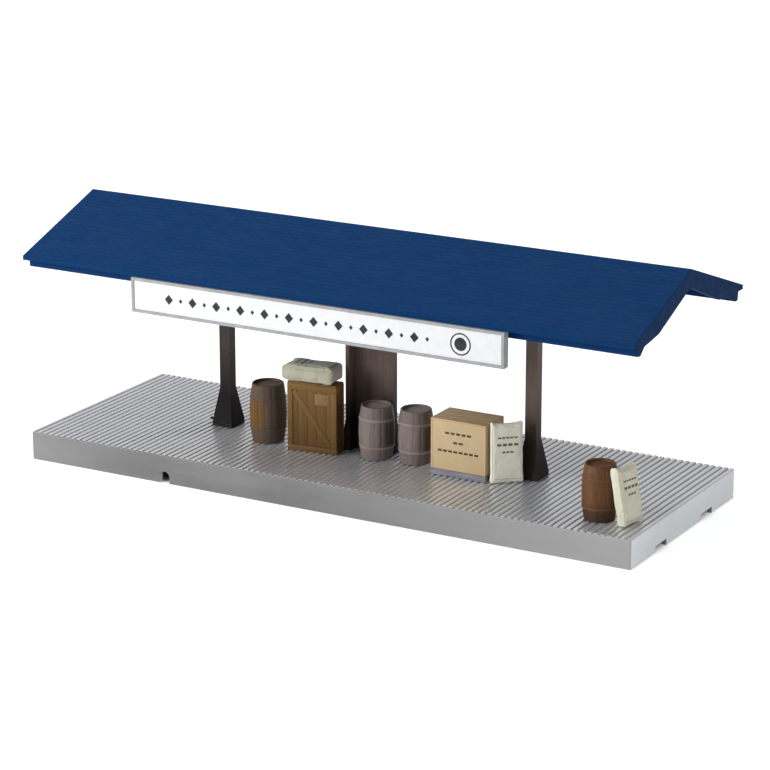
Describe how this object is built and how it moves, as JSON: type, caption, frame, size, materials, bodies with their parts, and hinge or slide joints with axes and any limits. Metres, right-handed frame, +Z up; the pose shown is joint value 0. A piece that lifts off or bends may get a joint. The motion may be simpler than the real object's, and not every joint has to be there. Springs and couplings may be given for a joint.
{
  "type": "model railway freight platform",
  "caption": "Covered trackside freight platform for a model railway: ribbed deck, flared posts, gable roof with long sign boards, and loose barrels, crate, box and sacks.",
  "frame": {"origin": "centre of the platform's underside, on the table", "axes": "+X along the platform, -Y towards the front with the visible sign, +Z up"},
  "size_m": [0.305, 0.1152, 0.1172],
  "materials": {
    "platform_silver": "satin, metallic grey",
    "post_brown": "satin",
    "roof_blue": "satin with a fine drawn grain",
    "sign_grey": "satin",
    "sign_white": "matt",
    "screw_steel": "turned",
    "terminal_brass": "turned",
    "terminal_black": "matt",
    "cable_green": "satin",
    "socket_ivory": "matt",
    "bulb_glass": "clear",
    "barrel_orange": "stained staves with dark ends",
    "keg_grey": "weathered staves",
    "barrel_brown": "stained staves",
    "crate_brown": "painted planks",
    "sack_cream": "woven",
    "box_tan": "matt",
    "skid_grey": "painted"
  },
  "bodies": {
    "platform": {"platform_base": "platform_silver", "left_post": "post_brown", "right_post": "post_brown", "centre_pier": "post_brown", "post_screws": "screw_steel", "pier_screws": "screw_steel", "ridge_channel": "post_brown", "lamp_sockets": "socket_ivory", "lamp_bulbs": "bulb_glass", "lamp_cable": "cable_green", "terminal_block": "terminal_black", "terminal_screws": "terminal_brass"},
    "roof": {"roof_shell": "roof_blue", "front_sign_frame": "sign_grey", "front_sign_board": "sign_white", "rear_sign_frame": "sign_grey", "rear_sign_board": "sign_white"},
    "tall_barrel": {"tall_barrel": "barrel_orange"},
    "left_keg": {"left_keg": "keg_grey"},
    "right_keg": {"right_keg": "keg_grey"},
    "end_barrel": {"end_barrel": "barrel_brown"},
    "crate": {"slat_crate": "crate_brown"},
    "crate_sack": {"crate_sack": "sack_cream"},
    "box": {"tan_box": "box_tan", "box_skid": "skid_grey"},
    "post_sack": {"post_sack": "sack_cream"},
    "barrel_sack": {"barrel_sack": "sack_cream"}
  },
  "joints": [
    {"name": "roof_lift", "type": "slide", "parent": "platform", "child": "roof", "axis": [0, 0, 1], "range_m": [0, 0.04]},
    {"name": "tall_barrel_lift", "type": "slide", "parent": "platform", "child": "tall_barrel", "axis": [0, 0, 1], "range_m": [0, 0.03]},
    {"name": "left_keg_lift", "type": "slide", "parent": "platform", "child": "left_keg", "axis": [0, 0, 1], "range_m": [0, 0.03]},
    {"name": "right_keg_lift", "type": "slide", "parent": "platform", "child": "right_keg", "axis": [0, 0, 1], "range_m": [0, 0.03]},
    {"name": "end_barrel_push", "type": "slide", "parent": "platform", "child": "end_barrel", "axis": [-1, 0, 0], "range_m": [0, 0.02]},
    {"name": "crate_lift", "type": "slide", "parent": "platform", "child": "crate", "axis": [0, 0, 1], "range_m": [0, 0.02]},
    {"name": "crate_sack_lift", "type": "slide", "parent": "crate", "child": "crate_sack", "axis": [0, 0, 1], "range_m": [0, 0.012]},
    {"name": "box_lift", "type": "slide", "parent": "platform", "child": "box", "axis": [0, 0, 1], "range_m": [0, 0.025]},
    {"name": "post_sack_lift", "type": "slide", "parent": "platform", "child": "post_sack", "axis": [0, 0, 1], "range_m": [0, 0.025]},
    {"name": "barrel_sack_lift", "type": "slide", "parent": "platform", "child": "barrel_sack", "axis": [0, 0, 1], "range_m": [0, 0.03]}
  ]
}
